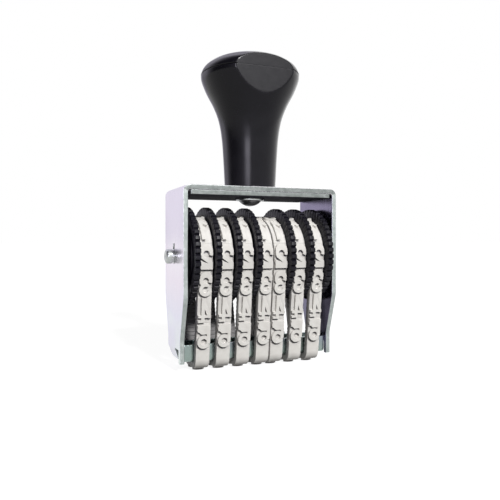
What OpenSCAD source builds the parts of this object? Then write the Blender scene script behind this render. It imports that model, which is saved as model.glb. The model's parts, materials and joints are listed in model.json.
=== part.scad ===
// Hand numbering stamp with seven rubber number bands.
// Seven toothed thumbwheels turn on one axle in a bent steel frame. Each wheel
// carries a rubber loop with raised, mirrored figures, which runs down round a
// steel bridge, so that one figure of each loop faces the paper. A turned
// handle is screwed to the frame from below.
// X runs along the axle, -Y is the front, +Z is up, and Z = 0 is the paper.

/* [Wheels] */
// Radius over the teeth of a thumbwheel
wheel_r = 10.05; // [9.4:0.05:11]
// Thickness of the toothed flange of a thumbwheel
flange_t = 1.1; // [0.8:0.05:1.5]
// Number of teeth round a thumbwheel
teeth = 48; // [36:2:60]
// Depth of the teeth
tooth_depth = 0.5; // [0.3:0.05:0.7]
// Radius of the drum that carries the band
drum_r = 6.4; // [5.8:0.05:6.8]
// Number of grooves along the drum that grip the band
drum_grooves = 22; // [16:2:28]
// Radius of those grooves
groove_r = 0.25; // [0.15:0.05:0.35]
// Inner radius of the sunk ring on the outside of a flange
ring_in_r = 6.7; // [6:0.1:7]
// Outer radius of the sunk ring on the outside of a flange
ring_out_r = 8.5; // [8:0.1:8.8]
// Depth of the sunk ring
ring_depth = 0.22; // [0.1:0.02:0.35]
// Side play between one wheel and the next
wheel_play = 0.1; // [0.05:0.05:0.2]

/* [Axle] */
// Diameter of the axle
axle_d = 3; // [2.5:0.1:3.6]
// Height of the axle above the paper
axle_h = 22.8; // [21.5:0.1:26]
// Length of the axle end that stands out of each side plate
axle_stub = 1.7; // [1:0.1:2.5]
// Chamfer on the axle ends
axle_chamfer = 0.3; // [0.1:0.05:0.5]
// Radial running clearance of the wheels on the axle
axle_clear = 0.05; // [0.03:0.01:0.08]
// Width of the narrow slot above the axle hole
keyhole_w = 1.3; // [0.8:0.1:1.8]
// Rise of that slot above the axle hole
keyhole_rise = 1.1; // [0.6:0.1:1.6]
// Outside diameter of the spacer washer at each end of the wheel stack
spacer_d = 6.4; // [5:0.1:8]
// Thickness of the spacer washer
spacer_t = 0.75; // [0.5:0.05:1.2]
// Side play between spacer washer and wheel, and between it and the plate
spacer_play = 0.06; // [0.04:0.01:0.12]

/* [Bands] */
// Width of a rubber band
band_w = 2.85; // [2.4:0.05:3.4]
// Thickness of a band without its figures
band_t = 1.35; // [1.1:0.05:1.5]
// Height of the raised figures
relief = 0.45; // [0.35:0.05:0.6]
// Clearance between a band and its drum
band_clear = 0.12; // [0.1:0.01:0.2]
// Clearance between a band and the wheels beside it
band_side = 0.1; // [0.06:0.01:0.16]
// Height of a figure
figure_h = 4.85; // [4.2:0.05:5]
// Width of a figure
figure_w = 2.6; // [2.3:0.05:2.7]
// Width of the strokes of a figure
stroke_w = 0.84; // [0.6:0.02:0.9]
// Distance from one figure to the next along a band
pitch = 5.22; // [5.1:0.01:5.4]
// Distance from the lower end of a straight strand to its lowest figure
strand_start = 4.88; // [4.4:0.02:5.4]
// Distance of the printed figure behind the middle of the bridge
face_shift = 0.5; // [0:0.05:0.7]

/* [Frame] */
// Depth of the frame from front to back at the top
frame_d = 15.2; // [13:0.1:18]
// Thickness of the frame sheet
sheet_t = 1; // [0.8:0.05:1.2]
// Outside radius of the bends between web and side plates
bend_r = 1.45; // [1.3:0.05:2]
// Height of the frame's feet above the paper
foot_lift = 1.6; // [1.2:0.1:1.8]
// Depth of a side plate at its foot
foot_d = 9.8; // [9.2:0.1:11]
// Height of the straight part of the foot
foot_h = 4.6; // [4:0.1:5.5]
// Height above the foot at which a side plate starts to narrow
taper_h = 13; // [11:0.1:15]
// Width of the front finger of a foot, in front of its slot
finger_w = 1; // [0.8:0.1:1.2]
// Width of the slot in a foot
slot_w = 3.3; // [2.5:0.1:3.6]
// Height of the tab behind the slot, up to its bend
tab_h = 2.7; // [2.2:0.1:3]
// Angle through which the tab is bent inwards over the bridge
tab_angle = 18; // [10:1:24]
// Thickness of the backing plate under the web
backing_t = 0.95; // [0.7:0.05:1.2]

/* [Bridge] */
// Distance from the handle's axis to the front of the bridge
bridge_front = 4.1; // [3.8:0.05:4.3]
// Depth of the bridge from front to back
bridge_d = 6; // [5.6:0.1:8.2]
// Height of the bridge
bridge_h = 3.45; // [2.8:0.05:3.6]
// Thickness of the bridge sheet
bridge_t = 0.8; // [0.6:0.05:1]
// Radius of the lower edges of the bridge
bridge_r = 0.85; // [0.7:0.05:1.1]
// Clearance between the bridge and the side plates
bridge_play = 0.06; // [0.04:0.01:0.12]

/* [Handle] */
// Height of the handle above the frame, up to its seam
seam_h = 24.1; // [22:0.1:27]
// Height of the domed cap above the seam
cap_h = 4.5; // [3.5:0.1:5.5]
// Radius of the handle at its seat
neck_r = 5.4; // [5:0.1:6]
// Largest radius of the handle, at the seam
knob_r = 10.5; // [9.6:0.1:11.5]
// Distance from the handle's axis to its flat
flat_y = 8.45; // [8:0.05:9]
// Width of the groove at the seam
seam_groove = 0.16; // [0.1:0.02:0.3]
// Radius of the spigot under the cap
spigot_r = 5.8; // [4:0.1:6.5]
// Length of the spigot under the cap
spigot_h = 2.6; // [2:0.1:3.5]

/* [Screw] */
// Diameter of the handle screw
screw_d = 3; // [2.5:0.1:3.5]
// Length of the screw under its head
screw_len = 14; // [10:0.5:18]
// Diameter of the screw head
head_d = 4.8; // [4.4:0.1:5.6]
// Height of the screw head
head_h = 1.15; // [0.9:0.05:1.5]
// Width of the slot in the screw head
driver_w = 0.7; // [0.5:0.05:0.9]
// Depth of that slot
driver_depth = 0.5; // [0.3:0.05:0.6]
// Diameter of the washer under the screw head
washer_d = 6; // [5.6:0.1:7]
// Thickness of that washer
washer_t = 0.5; // [0.4:0.05:0.7]
// Radial clearance of the screw in its holes
screw_clear = 0.1; // [0.05:0.01:0.2]
// Clearance between the screw head and the wheels below it
head_gap = 0.45; // [0.3:0.05:1]

/* [Hidden] */
$fn = 72;
eps = 0.01;

plastic_black = "#17161a";
wheel_black = "#232127";
rubber_grey = "#dedad4";
zinc = "#cfd2d6";
steel = "#b9bcc0";

// Wheel stack: the first four wheels have the flange on their left, the last
// three on their right, so the two middle bands lie side by side.
band_count = 7;
left_count = 4;
drum_w = band_w + 2 * band_side;
wheel_w = flange_t + drum_w;
wheel_pitch = wheel_w + wheel_play;
stack_w = band_count * wheel_pitch - wheel_play;
function wheel_left(i) = -stack_w / 2 + (i - 1) * wheel_pitch;
function band_x(i) = wheel_left(i) + (i <= left_count ? flange_t : 0) + drum_w / 2;

// Heights, from the paper up
base_z = relief;
bridge_z = base_z + band_t;
wheel_top = axle_h + wheel_r;
web_under = wheel_top + head_gap + head_h + washer_t + backing_t;
web_top = web_under + sheet_t;
inner_w = stack_w + 2 * (spacer_t + 2 * spacer_play);
frame_w = inner_w + 2 * sheet_t;
tab_z = foot_lift + tab_h;
slot_front = -foot_d / 2 + finger_w;
slot_back = slot_front + slot_w;

// The loop of a band: a big arc round the drum, two small ones round the lower
// edges of the bridge, and straight strands that touch both. In each pair of
// values the first is for the rear strand, the second for the front one.
loop_r = drum_r + band_clear;
bridge_mid = bridge_d / 2 - bridge_front;
corner_z = bridge_z + bridge_r;
span_z = axle_h - corner_z;
corner_y = [bridge_mid + bridge_d / 2 - bridge_r, bridge_front - bridge_r];
span = [for (y = corner_y) norm([span_z, y])];
lean = [for (i = [0:1]) atan2(corner_y[i], span_z) - asin((loop_r - bridge_r) / span[i])];
strand = [for (v = span) sqrt(pow(v, 2) - pow(loop_r - bridge_r, 2))];

// Lengths along the middle of the band's thickness, from the bridge's middle
mid = band_t / 2;
flat_len = bridge_d / 2 - bridge_r;
corner_len = [for (a = lean) (bridge_r + mid) * (90 + a) * PI / 180];

// Place of a figure along the band, counted from the middle of the bridge up
// the front strand: 0 to 5 run down the front, 6 is the printed one, and 7 to 9
// go on up the rear. The rest of the band is blank.
function figure_place(n) =
    n < 6 ? flat_len + corner_len[1] + strand_start + (5 - n) * pitch
    : n == 6 ? -face_shift
    : -flat_len - corner_len[0] - strand_start - (n - 7) * pitch;

function unit(v) = v / norm(v);
function side(v) = [-v[1], v[0]];
function arc(c, r, a0, a1, n = 8) =
    [for (i = [0:n]) c + r * [cos(a0 + (a1 - a0) * i / n), sin(a0 + (a1 - a0) * i / n)]];

// One corner of an outline, rounded to radius r
function corner(a, b, c, r) =
    let (u = unit(a - b), v = unit(c - b), half = acos(u * v) / 2)
    let (m = b + unit(u + v) * r / sin(half), p = b + u * r / tan(half) - m)
    let (a0 = atan2(p[1], p[0]), turn = sign(cross(b - a, c - b)) * (180 - 2 * half))
    r < eps ? [b] : arc(m, r, a0, a0 + turn, 6);

// An outline whose points are [x, y, radius]
function rounded(points) =
    let (n = len(points), p = [for (q = points) [q[0], q[1]]])
    [for (i = [0:n - 1]) each corner(p[(i + n - 1) % n], p[i], p[(i + 1) % n], points[i][2])];

// Points of a smooth curve through the given ones
function smooth(points, steps = 3) =
    let (n = len(points) - 1)
    [for (i = [0:n - 1], j = [0:steps - 1])
        let (a = points[max(i - 1, 0)], b = points[i], c = points[i + 1], d = points[min(i + 2, n)])
        let (t = j / steps, m0 = (c - a) / 2, m1 = (d - b) / 2)
        b * (2 * pow(t, 3) - 3 * pow(t, 2) + 1) + m0 * (pow(t, 3) - 2 * pow(t, 2) + t)
            + c * (3 * pow(t, 2) - 2 * pow(t, 3)) + m1 * (pow(t, 3) - pow(t, 2))];

// Place of the band's middle line at distance s from the middle of the bridge,
// measured up the front strand: [y, z, angle of the outward normal]
function loop_place(s) =
    let (k = s > 0 ? 1 : 0, d = abs(s), q = bridge_r + mid, r = loop_r + mid)
    let (along = d - flat_len - corner_len[k])
    let (turn = d < flat_len ? -90
        : along < 0 ? -90 + (d - flat_len) / q * 180 / PI
        : along < strand[k] ? lean[k]
        : lean[k] + (along - strand[k]) / r * 180 / PI)
    let (flat = corner_y[k] - flat_len + min(d, flat_len), up = max(0, min(along, strand[k])))
    let (c = along < strand[k] ? [flat, corner_z] + up * [-sin(lean[k]), cos(lean[k])] : [0, axle_h])
    let (p = c + (along < strand[k] ? q : r) * [cos(turn), sin(turn)])
    k == 1 ? [-p[0], p[1], 180 - turn] : [p[0], p[1], turn];

module along_x(length) {
    rotate([90, 0, 90]) linear_extrude(length, center = true) children();
}

module along_y(length) {
    rotate([90, 0, 0]) linear_extrude(length, center = true) children();
}

module rod(r, length) {
    rotate([0, 90, 0]) cylinder(r = r, h = length, center = true);
}

// ---- thumbwheels ----

module toothed_disc(r, depth, count) {
    step = 360 / count;
    root = r - depth;
    polygon([for (i = [0:count - 1], k = [[-0.34, root], [-0.12, r], [0.12, r], [0.34, root]])
        k[1] * [cos((i + k[0]) * step), sin((i + k[0]) * step)]]);
}

// Drawn with the axle along Z, flange at the bottom
module thumbwheel_body() {
    difference() {
        union() {
            linear_extrude(flange_t) toothed_disc(wheel_r, tooth_depth, teeth);
            linear_extrude(wheel_w) difference() {
                circle(drum_r);
                for (i = [0:drum_grooves - 1])
                    rotate(i * 360 / drum_grooves) translate([drum_r, 0]) circle(groove_r, $fn = 16);
            }
        }
        translate([0, 0, -eps]) cylinder(r = axle_d / 2 + axle_clear, h = wheel_w + 2 * eps);
        translate([0, 0, -eps]) difference() {
            cylinder(r = ring_out_r, h = ring_depth + eps);
            translate([0, 0, -eps]) cylinder(r = ring_in_r, h = ring_depth + 4 * eps);
        }
    }
}

module thumbwheel(i) {
    color(wheel_black)
        translate([wheel_left(i) + (i <= left_count ? 0 : wheel_w), 0, axle_h])
            rotate([0, i <= left_count ? 90 : -90, 0]) thumbwheel_body();
}

// ---- number bands ----

// A pen stroke of even width along a line of points
function stroke(points, w = stroke_w) =
    let (n = len(points) - 1)
    let (normal = [for (i = [0:n])
        let (a = side(unit(points[max(i, 1)] - points[max(i, 1) - 1])))
        let (b = side(unit(points[min(i, n - 1) + 1] - points[min(i, n - 1)])))
        (a + b) / (1 + a * b)])
    concat([for (i = [0:n]) points[i] + normal[i] * w / 2],
        [for (i = [n:-1:0]) points[i] - normal[i] * w / 2]);

// Half width and half height of the middle lines of a figure
fx = (figure_w - stroke_w) / 2;
fy = (figure_h - stroke_w) / 2;
end = figure_h / 2;
edge = figure_w / 2;
top = fy - fx;
low = fx - fy;

// Stem and crossbar of the 4
stem_x = 0.35;
bar_w = 0.6;
bar_y = 0.6 + bar_w / 2 - end;

// Top bar and upper bend of the 5
cap_w = 1.1;
cap_y = end - cap_w / 2;
belly = low + 0.35;

// Open strokes of a figure
function figure_lines(n) =
    n == 1 ? [[[stem_x, -end], [stem_x, end]], [[stem_x, fy], [-fx, top]]]
    : n == 2 ? [concat(arc([0, top], fx, 170, -40, 8), [[-fx, -fy]]), [[-edge, -fy], [edge, -fy]]]
    : n == 3 ? [arc([0, top], fx, 160, -90, 8), arc([0, low], fx, 90, -160, 8), [[0, low + fx], [0, top - fx]]]
    : n == 4 ? [[[stem_x, -end], [stem_x, end]], [[stem_x, fy], [-fx, bar_y]], [[-edge, bar_y], [edge, bar_y]]]
    : n == 5 ? [[[edge, cap_y], [-edge, cap_y]], [[-fx, end], [-fx, belly]],
        concat(arc([0, belly], fx, 145, 0, 5), arc([0, low], fx, 0, -155, 6))]
    : n == 6 ? [concat([[-fx, low]], arc([0, top], fx, 180, 25, 6))]
    : n == 7 ? [[[-edge, fy], [edge, fy]], [[fx, fy], [-0.3, -end]]]
    : n == 8 ? [[[0, low + fx], [0, top - fx]]]
    : n == 9 ? [concat([[fx, top]], arc([0, low], fx, 0, -155, 6))]
    : [];

// Width of stroke k of a figure
function line_width(n, k) = n == 4 && k == 2 ? bar_w : n == 5 && k == 0 ? cap_w : stroke_w;

// Closed rings of a figure: [lower centre, upper centre, radius]
function figure_rings(n) =
    n == 0 ? [[low, top, fx]]
    : n == 6 ? [[low, low, fx]]
    : n == 8 ? [[low, low, fx], [top - 0.05, top - 0.05, 0.95 * fx]]
    : n == 9 ? [[top, top, fx]]
    : [];

module slot_2d(ring, grow) {
    polygon(concat(arc([0, ring[1]], ring[2] + grow, 0, 180), arc([0, ring[0] - eps], ring[2] + grow, 180, 360)));
}

module figure_2d(n) {
    mirror([1, 0]) {
        lines = figure_lines(n);
        for (k = [0:1:len(lines) - 1]) polygon(stroke(lines[k], line_width(n, k)));
        for (ring = figure_rings(n)) difference() {
            slot_2d(ring, stroke_w / 2);
            slot_2d(ring, -stroke_w / 2);
        }
    }
}

// Outline of the loop, grown outwards: arcs round the two lower edges of the
// bridge and round the drum
function loop_outline(grow) =
    let (q = bridge_r + grow, r = loop_r + grow)
    concat(arc([corner_y[0], corner_z], q, -90, lean[0], 6), arc([0, axle_h], r, lean[0], 180 - lean[1], 28),
        arc([-corner_y[1], corner_z], q, 180 - lean[1], 270, 6));

module number_band(i) {
    color(rubber_grey) translate([band_x(i), 0, 0]) {
        along_x(band_w) difference() {
            polygon(loop_outline(band_t));
            polygon(loop_outline(0));
        }
        for (n = [0:9]) {
            place = loop_place(figure_place(n));
            translate([0, place[0], place[1]]) rotate([place[2] - 90, 0, 0])
                linear_extrude(mid + relief) figure_2d(n);
        }
    }
}

// ---- frame ----

// An upright section with a flat foot and two rounded upper corners
module arch_2d(w, bottom, top, r) {
    translate([-w / 2, bottom]) square([w, top - bottom - r]);
    translate([-w / 2 + r, bottom]) square([w - 2 * r, top - bottom]);
    for (s = [-1, 1]) translate([s * (w / 2 - r), top - r]) circle(r);
}

module side_2d() {
    taper_z = foot_lift + taper_h;
    ankle_z = foot_lift + foot_h;
    polygon(rounded([
        [-foot_d / 2, foot_lift, 0.3], [foot_d / 2, foot_lift, 1],
        [foot_d / 2, ankle_z, 3], [frame_d / 2, taper_z, 3],
        [frame_d / 2, web_top, 0], [-frame_d / 2, web_top, 0],
        [-frame_d / 2, taper_z, 3], [-foot_d / 2, ankle_z, 3]
    ]));
}

// The tab of a foot, bent about the outer edge of its root
module foot_tab(s) {
    translate([s * frame_w / 2, 0, tab_z]) rotate([0, s * tab_angle, 0]) translate([-s * sheet_t / 2, 0, 0])
        along_x(sheet_t) polygon(rounded([
            [slot_back, -tab_h, 0.6], [foot_d / 2, -tab_h, 1.4],
            [foot_d / 2, 0, 0], [slot_back, 0, 0]
        ]));
}

module frame_yoke() {
    color(zinc) {
        difference() {
            intersection() {
                along_y(frame_d + 1) difference() {
                    arch_2d(frame_w, 0, web_top, bend_r);
                    arch_2d(inner_w, -1, web_under, bend_r - sheet_t);
                }
                along_x(frame_w + 1) side_2d();
            }
            translate([0, 0, axle_h]) rod(axle_d / 2 + eps, frame_w + 1);
            translate([0, 0, axle_h + (axle_d / 2 + keyhole_rise) / 2])
                cube([frame_w + 1, keyhole_w, axle_d / 2 + keyhole_rise], center = true);
            translate([0, 0, web_under - 1]) cylinder(r = screw_d / 2 + screw_clear, h = sheet_t + 2);
            translate([-frame_w / 2 - 1, slot_front, 0]) cube([frame_w + 2, foot_d, tab_z]);
        }
        for (s = [-1, 1]) foot_tab(s);
    }
}

module backing_plate() {
    w = inner_w - 2 * (bend_r - sheet_t);
    color(steel) difference() {
        translate([-w / 2, -frame_d / 2, web_under - backing_t]) cube([w, frame_d, backing_t]);
        translate([0, 0, web_under - backing_t - 1])
            cylinder(r = screw_d / 2 + screw_clear, h = backing_t + 2);
    }
}

// A channel that is open at the top. Behind the feet's slots its ends are cut
// back, to clear the bent tabs.
module bridge() {
    length = inner_w - 2 * bridge_play;
    relief_x = tab_h * sin(tab_angle) + 0.3;
    color(zinc) difference() {
        along_x(length) difference() {
            translate([bridge_mid, 2 * bridge_z + bridge_h]) mirror([0, 1])
                arch_2d(bridge_d, bridge_z, bridge_z + bridge_h, bridge_r);
            translate([bridge_mid, 2 * bridge_z + bridge_h + bridge_t]) mirror([0, 1])
                arch_2d(bridge_d - 2 * bridge_t, bridge_z - 1, bridge_z + bridge_h, max(bridge_r - bridge_t, eps));
        }
        for (s = [-1, 1])
            translate([s * inner_w / 2 - relief_x, slot_back - 0.3, 0])
                cube([2 * relief_x, bridge_d, bridge_z + bridge_h + 1]);
    }
}

// ---- axle ----

module axle() {
    length = frame_w + 2 * axle_stub;
    r = axle_d / 2;
    color(steel) translate([-length / 2, 0, axle_h]) rotate([0, 90, 0]) rotate_extrude()
        polygon([[0, 0], [r - axle_chamfer, 0], [r, axle_chamfer],
            [r, length - axle_chamfer], [r - axle_chamfer, length], [0, length]]);
}

module axle_spacers() {
    x = stack_w / 2 + spacer_play + spacer_t / 2;
    color(steel) for (s = [-1, 1]) translate([s * x, 0, axle_h]) difference() {
        rod(spacer_d / 2, spacer_t);
        rod(axle_d / 2 + axle_clear, spacer_t + 1);
    }
}

// ---- handle and its screw ----

bell = [[neck_r, 0], [neck_r + 0.1, 0.08 * seam_h], [neck_r + 0.3, 0.24 * seam_h],
    [neck_r + 0.65, 0.44 * seam_h], [neck_r + 1.3, 0.6 * seam_h], [0.6 * neck_r + 0.44 * knob_r, 0.73 * seam_h],
    [0.2 * neck_r + 0.79 * knob_r, 0.85 * seam_h], [0.985 * knob_r, 0.95 * seam_h], [knob_r, seam_h]];
dome = [[knob_r, 0], [0.975 * knob_r, 0.2 * cap_h], [0.9 * knob_r, 0.42 * cap_h], [0.73 * knob_r, 0.67 * cap_h],
    [0.49 * knob_r, 0.86 * cap_h], [0.24 * knob_r, 0.965 * cap_h], [0, cap_h]];

module front_flat() {
    translate([-knob_r, -flat_y - knob_r, 0]) cube([2 * knob_r, knob_r, seam_h + cap_h + 1]);
}

module handle() {
    color(plastic_black) translate([0, 0, web_top]) difference() {
        rotate_extrude() polygon(concat([[0, 0]], smooth(bell),
            [[knob_r, seam_h - seam_groove], [knob_r - seam_groove, seam_h], [0, seam_h]]));
        translate([0, 0, -1]) cylinder(r = screw_d / 2 + eps, h = 1 + screw_len);
        translate([0, 0, seam_h - spigot_h - 0.1]) cylinder(r = spigot_r + 0.02, h = spigot_h + 1);
        front_flat();
    }
}

module handle_cap() {
    color(plastic_black) translate([0, 0, web_top]) {
        difference() {
            translate([0, 0, seam_h]) rotate_extrude() polygon(concat([[0, 0], [knob_r - seam_groove, 0]],
                [for (p = smooth(dome)) if (p[1] > seam_groove) p], [[0, cap_h]]));
            front_flat();
        }
        translate([0, 0, seam_h - spigot_h]) cylinder(r = spigot_r, h = spigot_h + eps);
    }
}

module screw_washer() {
    color(steel) translate([0, 0, web_under - backing_t - washer_t]) difference() {
        cylinder(r = washer_d / 2, h = washer_t);
        translate([0, 0, -1]) cylinder(r = screw_d / 2 + screw_clear, h = washer_t + 2);
    }
}

// A domed head with a straight slot, and a shank that goes up into the handle
module handle_screw() {
    seat = web_under - backing_t - washer_t;
    dome_r = (pow(head_d / 2, 2) + pow(head_h, 2)) / (2 * head_h);
    color(steel) {
        translate([0, 0, seat]) cylinder(r = screw_d / 2, h = screw_len);
        difference() {
            intersection() {
                translate([0, 0, seat - head_h]) cylinder(r = head_d / 2, h = head_h);
                translate([0, 0, seat - head_h + dome_r]) sphere(dome_r);
            }
            translate([-head_d, -driver_w / 2, seat - head_h - 1]) cube([2 * head_d, driver_w, 1 + driver_depth]);
        }
    }
}

handle();
handle_cap();
handle_screw();
screw_washer();
frame_yoke();
backing_plate();
bridge();
axle();
axle_spacers();
thumbwheel(1);  // thumbwheel_1
thumbwheel(2);  // thumbwheel_2
thumbwheel(3);  // thumbwheel_3
thumbwheel(4);  // thumbwheel_4
thumbwheel(5);  // thumbwheel_5
thumbwheel(6);  // thumbwheel_6
thumbwheel(7);  // thumbwheel_7
number_band(1);  // number_band_1
number_band(2);  // number_band_2
number_band(3);  // number_band_3
number_band(4);  // number_band_4
number_band(5);  // number_band_5
number_band(6);  // number_band_6
number_band(7);  // number_band_7
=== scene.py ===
import json
import math

import bmesh
import bpy
import numpy as np
from mathutils import Matrix, Vector


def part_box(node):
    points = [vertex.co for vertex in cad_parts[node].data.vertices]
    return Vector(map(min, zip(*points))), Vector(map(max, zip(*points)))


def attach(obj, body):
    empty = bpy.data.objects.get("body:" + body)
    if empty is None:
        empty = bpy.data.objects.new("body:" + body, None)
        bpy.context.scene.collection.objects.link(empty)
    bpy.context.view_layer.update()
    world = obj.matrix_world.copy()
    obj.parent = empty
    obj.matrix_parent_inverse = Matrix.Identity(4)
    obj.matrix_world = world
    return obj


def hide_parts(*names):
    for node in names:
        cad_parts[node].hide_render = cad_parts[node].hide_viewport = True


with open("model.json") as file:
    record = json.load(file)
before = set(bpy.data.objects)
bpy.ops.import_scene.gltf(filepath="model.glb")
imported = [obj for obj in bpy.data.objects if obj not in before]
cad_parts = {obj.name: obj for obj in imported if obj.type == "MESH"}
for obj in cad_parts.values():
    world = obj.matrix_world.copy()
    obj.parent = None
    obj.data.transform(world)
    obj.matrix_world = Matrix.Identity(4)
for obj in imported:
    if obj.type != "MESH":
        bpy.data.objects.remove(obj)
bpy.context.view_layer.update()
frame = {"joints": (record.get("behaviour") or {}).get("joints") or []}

# Dresses a hand numbering stamp: a black turned handle, a bent zinc plated frame,
# toothed wheels on one axle and rubber bands with raised figures.
# Sizes in the dictionaries are in millimetres and become metres where meshes are made.

mm = 0.001
axleHeight = frame["joints"][0]["pos_m"][2] / mm


def boxMm(name):
    low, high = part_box(name)
    return [v / mm for v in low], [v / mm for v in high]


def addObject(name, data):
    obj = bpy.data.objects.new(name, data)
    bpy.context.scene.collection.objects.link(obj)
    return obj


def addPiece(node, mesh, body, weighted=False, at=(0, 0, 0), turned=0.0):
    # A finished piece stands for one CAD node and rides on that node's body
    obj = addObject(f"{node}_dressed", mesh)
    obj.location = Vector(at) * mm
    obj.rotation_euler.z = turned
    if weighted:
        normals = obj.modifiers.new("Even normals", "WEIGHTED_NORMAL")
        normals.keep_sharp = True
    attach(obj, body)
    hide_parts(node)


def finishMesh(mesh, materials, shade, paint=None):
    # paint gives a face the number of its material; edges sharper than shade degrees stay sharp
    for material in materials:
        mesh.materials.append(material)
    if paint:
        for face in mesh.polygons:
            face.material_index = paint(face)
    work = bmesh.new()
    work.from_mesh(mesh)
    for face in work.faces:
        face.smooth = True
    limit = math.radians(shade)
    for edge in work.edges:
        edge.smooth = len(edge.link_faces) == 2 and edge.calc_face_angle(0) < limit
    work.to_mesh(mesh)
    work.free()


def meshFromGrid(name, rows, closed=False):
    # rows is an array (row, column, 3) whose columns run round; closed puts a lid on both ends
    count, columns = rows.shape[:2]
    index = np.arange(count * columns).reshape(count, columns)
    after = np.roll(index, -1, axis=1)
    faces = np.stack([index[:-1], after[:-1], after[1:], index[1:]], axis=-1).reshape(-1, 4).tolist()
    if closed:
        faces += [index[0][::-1].tolist(), index[-1].tolist()]
    mesh = bpy.data.meshes.new(name)
    mesh.from_pydata((rows.reshape(-1, 3) * mm).tolist(), [], faces)
    mesh.validate()
    return mesh


def roundedLine(points, steps=4):
    # A closed line round points (a, b) or (a, b, radius); a radius turns the corner into an arc
    flat = [Vector(p[:2]) for p in points]
    line = []
    for i, corner in enumerate(flat):
        if len(points[i]) == 2:
            line.append(corner)
            continue
        radius = points[i][2]
        back = (flat[i - 1] - corner).normalized()
        ahead = (flat[(i + 1) % len(flat)] - corner).normalized()
        half = back.angle(ahead) / 2
        reach = radius / math.tan(half)
        centre = corner + (back + ahead).normalized() * radius / math.sin(half)
        first = corner + back * reach - centre
        last = corner + ahead * reach - centre
        sweep = math.atan2(first.x * last.y - first.y * last.x, first.dot(last))
        for k in range(steps + 1):
            turned = first.copy()
            turned.rotate(Matrix.Rotation(sweep * k / steps, 2))
            line.append(centre + turned)
    return line


def smoothLine(points, steps):
    # Catmull-Rom through the points, ends doubled
    line = []
    last = len(points) - 1
    for i in range(last):
        a, b, c, d = (Vector(points[j]) for j in (max(i - 1, 0), i, i + 1, min(i + 2, last)))
        m0, m1 = (c - a) / 2, (d - b) / 2
        for j in range(steps):
            t = j / steps
            line.append(b * (2 * t**3 - 3 * t**2 + 1) + m0 * (t**3 - 2 * t**2 + t)
                        + c * (3 * t**2 - 2 * t**3) + m1 * (t**3 - t**2))
    line.append(Vector(points[-1]))
    return [(p.x, p.y) for p in line]


def latheRows(profile, steps, radiusAt=None):
    # Profile is (radius, height); the rows run round +Z
    turns = np.linspace(0, 2 * math.pi, steps, endpoint=False)
    rows = []
    for radius, height in profile:
        around = radiusAt(radius, height, turns) if radiusAt else np.full(steps, radius)
        rows.append(np.stack([around * np.cos(turns), around * np.sin(turns), np.full(steps, height)], 1))
    return np.array(rows)


def alongX(rows, start=0.0, up=0.0):
    # Turns rows made round +Z so that they run round +X, from start and at the height up
    return np.stack([rows[..., 2] + start, rows[..., 0], rows[..., 1] + up], -1)


# Helpers for nodes

def setSocket(tree, socket, value):
    if isinstance(value, bpy.types.NodeSocket):
        tree.links.new(value, socket)
    else:
        socket.default_value = value


def addNode(tree, kind, inputs, **settings):
    made = tree.nodes.new(kind)
    for key, value in settings.items():
        setattr(made, key, value)
    for key, value in inputs.items():
        setSocket(tree, made.inputs[key], value)
    return made


def newGroup(name, inputs, outputs):
    tree = bpy.data.node_groups.new(name, "ShaderNodeTree")
    for label, kind, value in inputs:
        made = tree.interface.new_socket(label, in_out="INPUT", socket_type="NodeSocket" + kind)
        if value is not None:
            made.default_value = value
    for label, kind in outputs:
        tree.interface.new_socket(label, in_out="OUTPUT", socket_type="NodeSocket" + kind)
    return tree, addNode(tree, "NodeGroupInput", {}).outputs, addNode(tree, "NodeGroupOutput", {}).inputs


def useGroup(tree, group, **values):
    return addNode(tree, "ShaderNodeGroup", values, node_tree=group).outputs


def maths(tree, operation, a, b, clamp=False):
    return addNode(tree, "ShaderNodeMath", {0: a, 1: b}, operation=operation, use_clamp=clamp).outputs[0]


def blendColors(tree, factor, a, b, mode="MIX"):
    made = addNode(tree, "ShaderNodeMix", {0: factor, 6: a, 7: b}, data_type="RGBA", blend_type=mode)
    return made.outputs[2]


def mapRange(tree, value, fromLow, fromHigh, toLow, toHigh):
    limits = {0: value, 1: fromLow, 2: fromHigh, 3: toLow, 4: toHigh}
    return addNode(tree, "ShaderNodeMapRange", limits).outputs[0]


def noise(tree, place, scale, detail, **more):
    inputs = {"Vector": place, "Scale": scale, "Detail": detail, **more}
    return addNode(tree, "ShaderNodeTexNoise", inputs).outputs["Fac"]


def axisOf(tree, place, number):
    return addNode(tree, "ShaderNodeSeparateXYZ", {0: place}).outputs[number]


def colorRamp(tree, factor, stops):
    ramp = addNode(tree, "ShaderNodeValToRGB", {"Fac": factor})
    while len(ramp.color_ramp.elements) < len(stops):
        ramp.color_ramp.elements.new(0.5)
    for element, (position, color) in zip(ramp.color_ramp.elements, stops):
        element.position = position
        element.color = (*color, 1)
    return ramp.outputs["Color"]


# Effects that several finishes share

def buildMottle():
    # Soft uneven colour, as in moulded rubber or handled plastic
    tree, given, out = newGroup("mottle", [
        ("Vector", "Vector", None), ("Scale", "Float", 300.0), ("Low", "Color", (0.4, 0.4, 0.4, 1)),
        ("High", "Color", (0.6, 0.6, 0.6, 1))], [("Color", "Color"), ("Mask", "Float")])
    patches = noise(tree, given["Vector"], given["Scale"], 5.0, Roughness=0.6)
    mask = mapRange(tree, patches, 0.35, 0.65, 0.0, 1.0)
    setSocket(tree, out["Mask"], mask)
    setSocket(tree, out["Color"], blendColors(tree, mask, given["Low"], given["High"]))
    return tree


def buildGrain():
    # Fine bumps with a few larger dents
    tree, given, out = newGroup("grain", [
        ("Vector", "Vector", None), ("Scale", "Float", 4000.0), ("Dents", "Float", 0.3)],
        [("Height", "Float")])
    fine = noise(tree, given["Vector"], given["Scale"], 4.0, Roughness=0.7)
    dents = noise(tree, given["Vector"], maths(tree, "MULTIPLY", given["Scale"], 0.12), 2.0)
    setSocket(tree, out["Height"], maths(tree, "ADD", fine, maths(tree, "MULTIPLY", dents, given["Dents"])))
    return tree


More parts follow.
